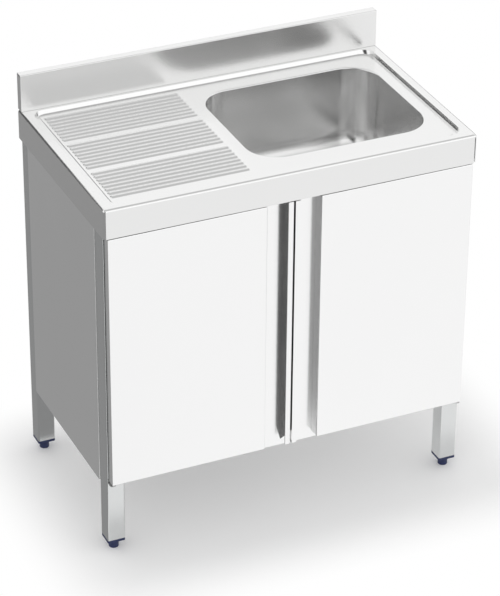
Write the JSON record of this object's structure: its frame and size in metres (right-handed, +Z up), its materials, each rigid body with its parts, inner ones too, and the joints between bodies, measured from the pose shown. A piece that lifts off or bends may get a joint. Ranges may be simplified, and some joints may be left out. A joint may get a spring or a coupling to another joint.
{
  "type": "sink cabinet",
  "caption": "Free-standing stainless steel sink cabinet: ribbed drainer, deep bowl and upstand over swing doors with finger channels, on square legs with levelling feet.",
  "frame": {"origin": "on the floor under the middle of the worktop's outline", "axes": "+X to the right seen from the front, +Y to the back, +Z up"},
  "size_m": [0.85, 0.5, 0.936],
  "materials": {
    "top_steel": "satin",
    "bowl_steel": "satin, drawn",
    "panel_steel": "fine brushed",
    "tube_steel": "satin tube",
    "bracket_steel": "mill",
    "blue_plastic": "moulded",
    "rubber": "moulded",
    "white_plastic": "moulded"
  },
  "bodies": {
    "cabinet": {"back_panel": "panel_steel", "bottom_shelf": "panel_steel", "bowl_surround": "top_steel", "catch_magnet_left": "white_plastic", "catch_magnet_right": "white_plastic", "deck_stiffener_left": "bracket_steel", "deck_stiffener_middle": "bracket_steel", "deck_stiffener_seam": "bracket_steel", "drainer_panel": "top_steel", "front_rail": "panel_steel", "leg_front_left": "tube_steel", "leg_front_right": "tube_steel", "leg_plate_front_left": "bracket_steel", "leg_plate_front_right": "bracket_steel", "leg_plate_rear_left": "bracket_steel", "leg_plate_rear_right": "bracket_steel", "leg_plug_front_left": "blue_plastic", "leg_plug_front_right": "blue_plastic", "leg_plug_rear_left": "blue_plastic", "leg_plug_rear_right": "blue_plastic", "leg_rear_left": "tube_steel", "leg_rear_right": "tube_steel", "pivot_tab_lower_left": "bracket_steel", "pivot_tab_lower_right": "bracket_steel", "pivot_tab_upper_left": "bracket_steel", "pivot_tab_upper_right": "bracket_steel", "rear_rail": "panel_steel", "side_panel_left": "panel_steel", "side_panel_right": "panel_steel", "sink_bowl": "bowl_steel", "splashback": "top_steel", "splashback_end_left": "top_steel", "splashback_end_right": "top_steel", "waste_body": "white_plastic", "waste_flange": "bowl_steel", "waste_gasket": "rubber", "waste_grid": "bowl_steel", "waste_nut": "white_plastic", "waste_screw": "bowl_steel", "worktop": "top_steel"},
    "door_left": {"door_skin_left": "panel_steel", "door_liner_left": "panel_steel", "pivot_pin_upper_left": "bracket_steel", "pivot_pin_lower_left": "bracket_steel", "catch_strike_left": "bracket_steel"},
    "door_right": {"door_skin_right": "panel_steel", "door_liner_right": "panel_steel", "pivot_pin_upper_right": "bracket_steel", "pivot_pin_lower_right": "bracket_steel", "catch_strike_right": "bracket_steel"},
    "foot_front_left": {"foot_front_left": "blue_plastic"},
    "foot_front_right": {"foot_front_right": "blue_plastic"},
    "foot_rear_left": {"foot_rear_left": "blue_plastic"},
    "foot_rear_right": {"foot_rear_right": "blue_plastic"}
  },
  "joints": [
    {"name": "door_left_swing", "type": "hinge", "parent": "cabinet", "child": "door_left", "pos_m": [-0.413, -0.241, 0.183], "axis": [0, 0, -1], "range_deg": [0, 110]},
    {"name": "door_right_swing", "type": "hinge", "parent": "cabinet", "child": "door_right", "pos_m": [0.413, -0.241, 0.183], "axis": [0, 0, 1], "range_deg": [0, 110]},
    {"name": "foot_front_left_height", "type": "slide", "parent": "cabinet", "child": "foot_front_left", "axis": [0, 0, -1], "range_m": [0, 0.025]},
    {"name": "foot_front_right_height", "type": "slide", "parent": "cabinet", "child": "foot_front_right", "axis": [0, 0, -1], "range_m": [0, 0.025]},
    {"name": "foot_rear_left_height", "type": "slide", "parent": "cabinet", "child": "foot_rear_left", "axis": [0, 0, -1], "range_m": [0, 0.025]},
    {"name": "foot_rear_right_height", "type": "slide", "parent": "cabinet", "child": "foot_rear_right", "axis": [0, 0, -1], "range_m": [0, 0.025]}
  ]
}
